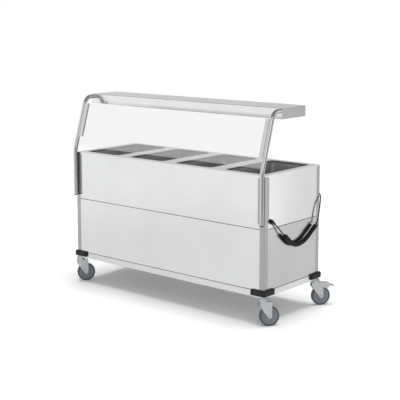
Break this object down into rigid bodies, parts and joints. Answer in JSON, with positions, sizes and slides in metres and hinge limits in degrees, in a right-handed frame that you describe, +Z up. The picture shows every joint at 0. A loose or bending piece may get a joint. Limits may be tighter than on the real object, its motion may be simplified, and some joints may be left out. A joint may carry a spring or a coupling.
{
  "type": "heated serving trolley",
  "caption": "Heated serving trolley on swivel casters, with food wells in a steel counter, a clear guard pane and a lamp bridge on bent tubes, and a curly mains cord.",
  "frame": {"origin": "on the floor, below the middle of the chassis", "axes": "+X along the counter to the end with the mains cord, +Y to the staff's side with the knobs, +Z up"},
  "size_m": [1.7434, 0.7336, 1.328],
  "materials": {
    "counter_steel": "fine satin brush",
    "dull_steel": "matt",
    "polished_steel": "polished",
    "clear_glass": "clear",
    "quartz": "satin",
    "zinc_plated_steel": "zinc plated",
    "wheel_plastic": "matt",
    "grey_tyre": "matt",
    "black_rubber": "matt",
    "black_plastic": "satin",
    "red_plastic": "gloss",
    "amber_plastic": "gloss, see-through",
    "heating_plate": "matt"
  },
  "bodies": {
    "trolley": {"counter_top": "counter_steel", "front_panel_upper": "counter_steel", "front_panel_lower": "counter_steel", "left_panel_upper": "counter_steel", "left_panel_lower": "counter_steel", "right_panel_upper": "counter_steel", "right_panel_lower": "counter_steel", "control_panel": "counter_steel", "base_frame": "counter_steel", "base_deck": "counter_steel", "bridge_shell": "counter_steel", "bridge_end_caps": "counter_steel", "corner_posts": "dull_steel", "heater_tray": "dull_steel", "arm_brackets": "dull_steel", "well_1": "dull_steel", "well_2": "dull_steel", "well_3": "dull_steel", "well_4": "dull_steel", "guard_arm_left": "polished_steel", "guard_arm_right": "polished_steel", "glass_clamps": "polished_steel", "guard_glass": "clear_glass", "lamp_cover": "clear_glass", "heat_lamps": "quartz", "caster_mounts": "zinc_plated_steel", "bumper_fl": "black_rubber", "bumper_fr": "black_rubber", "bumper_rl": "black_rubber", "bumper_rr": "black_rubber", "cord_leads": "black_rubber", "cord_coil": "black_rubber", "switch_bezel": "black_plastic", "cord_gland": "black_plastic", "plug": "black_plastic", "plug_holder": "black_plastic", "thermostats": "black_plastic", "tube_end_plugs": "black_plastic", "pilot_lamps": "amber_plastic", "well_heaters": "heating_plate"},
    "caster_fl": {"fork_fl": "zinc_plated_steel"},
    "caster_fr": {"fork_fr": "zinc_plated_steel"},
    "caster_rl": {"fork_rl": "zinc_plated_steel"},
    "caster_rr": {"fork_rr": "zinc_plated_steel"},
    "brake_rl": {"brake_pedal_rl": "zinc_plated_steel"},
    "brake_rr": {"brake_pedal_rr": "zinc_plated_steel"},
    "wheel_fl": {"wheel_core_fl": "wheel_plastic", "tyre_fl": "grey_tyre"},
    "wheel_fr": {"wheel_core_fr": "wheel_plastic", "tyre_fr": "grey_tyre"},
    "wheel_rl": {"wheel_core_rl": "wheel_plastic", "tyre_rl": "grey_tyre"},
    "wheel_rr": {"wheel_core_rr": "wheel_plastic", "tyre_rr": "grey_tyre"},
    "thermostat_knob_1": {"knob_1": "black_plastic"},
    "thermostat_knob_2": {"knob_2": "black_plastic"},
    "thermostat_knob_3": {"knob_3": "black_plastic"},
    "thermostat_knob_4": {"knob_4": "black_plastic"},
    "lamp_rocker": {"lamp_switch": "red_plastic"}
  },
  "joints": [
    {"name": "swivel_fl", "type": "hinge", "parent": "trolley", "child": "caster_fl", "pos_m": [-0.806, -0.286, 0.16], "axis": [0, 0, 1], "continuous": true},
    {"name": "roll_fl", "type": "hinge", "parent": "caster_fl", "child": "wheel_fl", "pos_m": [-0.78322, -0.25684, 0.0625], "axis": [-0.788, 0.6157, 0], "continuous": true},
    {"name": "swivel_fr", "type": "hinge", "parent": "trolley", "child": "caster_fr", "pos_m": [0.806, -0.286, 0.16], "axis": [0, 0, 1], "continuous": true},
    {"name": "roll_fr", "type": "hinge", "parent": "caster_fr", "child": "wheel_fr", "pos_m": [0.82878, -0.25684, 0.0625], "axis": [-0.788, 0.6157, 0], "continuous": true},
    {"name": "swivel_rl", "type": "hinge", "parent": "trolley", "child": "caster_rl", "pos_m": [-0.806, 0.286, 0.16], "axis": [0, 0, 1], "continuous": true},
    {"name": "roll_rl", "type": "hinge", "parent": "caster_rl", "child": "wheel_rl", "pos_m": [-0.78322, 0.31516, 0.0625], "axis": [-0.788, 0.6157, 0], "continuous": true},
    {"name": "swivel_rr", "type": "hinge", "parent": "trolley", "child": "caster_rr", "pos_m": [0.806, 0.286, 0.16], "axis": [0, 0, 1], "continuous": true},
    {"name": "roll_rr", "type": "hinge", "parent": "caster_rr", "child": "wheel_rr", "pos_m": [0.82878, 0.31516, 0.0625], "axis": [-0.788, 0.6157, 0], "continuous": true},
    {"name": "brake_rl", "type": "hinge", "parent": "caster_rl", "child": "brake_rl", "pos_m": [-0.78753, 0.30964, 0.137], "axis": [-0.788, 0.6157, 0], "range_deg": [0, 14]},
    {"name": "brake_rr", "type": "hinge", "parent": "caster_rr", "child": "brake_rr", "pos_m": [0.82447, 0.30964, 0.137], "axis": [-0.788, 0.6157, 0], "range_deg": [0, 14]},
    {"name": "turn_knob_1", "type": "hinge", "parent": "trolley", "child": "thermostat_knob_1", "pos_m": [-0.6195, 0.3, 0.655], "axis": [0, -1, 0], "range_deg": [0, 300]},
    {"name": "turn_knob_2", "type": "hinge", "parent": "trolley", "child": "thermostat_knob_2", "pos_m": [-0.2065, 0.3, 0.655], "axis": [0, -1, 0], "range_deg": [0, 300]},
    {"name": "turn_knob_3", "type": "hinge", "parent": "trolley", "child": "thermostat_knob_3", "pos_m": [0.2065, 0.3, 0.655], "axis": [0, -1, 0], "range_deg": [0, 300]},
    {"name": "turn_knob_4", "type": "hinge", "parent": "trolley", "child": "thermostat_knob_4", "pos_m": [0.6195, 0.3, 0.655], "axis": [0, -1, 0], "range_deg": [0, 300]},
    {"name": "rock_lamp_switch", "type": "hinge", "parent": "trolley", "child": "lamp_rocker", "pos_m": [-0.735, 0.297, 0.655], "axis": [-1, 0, 0], "range_deg": [0, 16]}
  ]
}
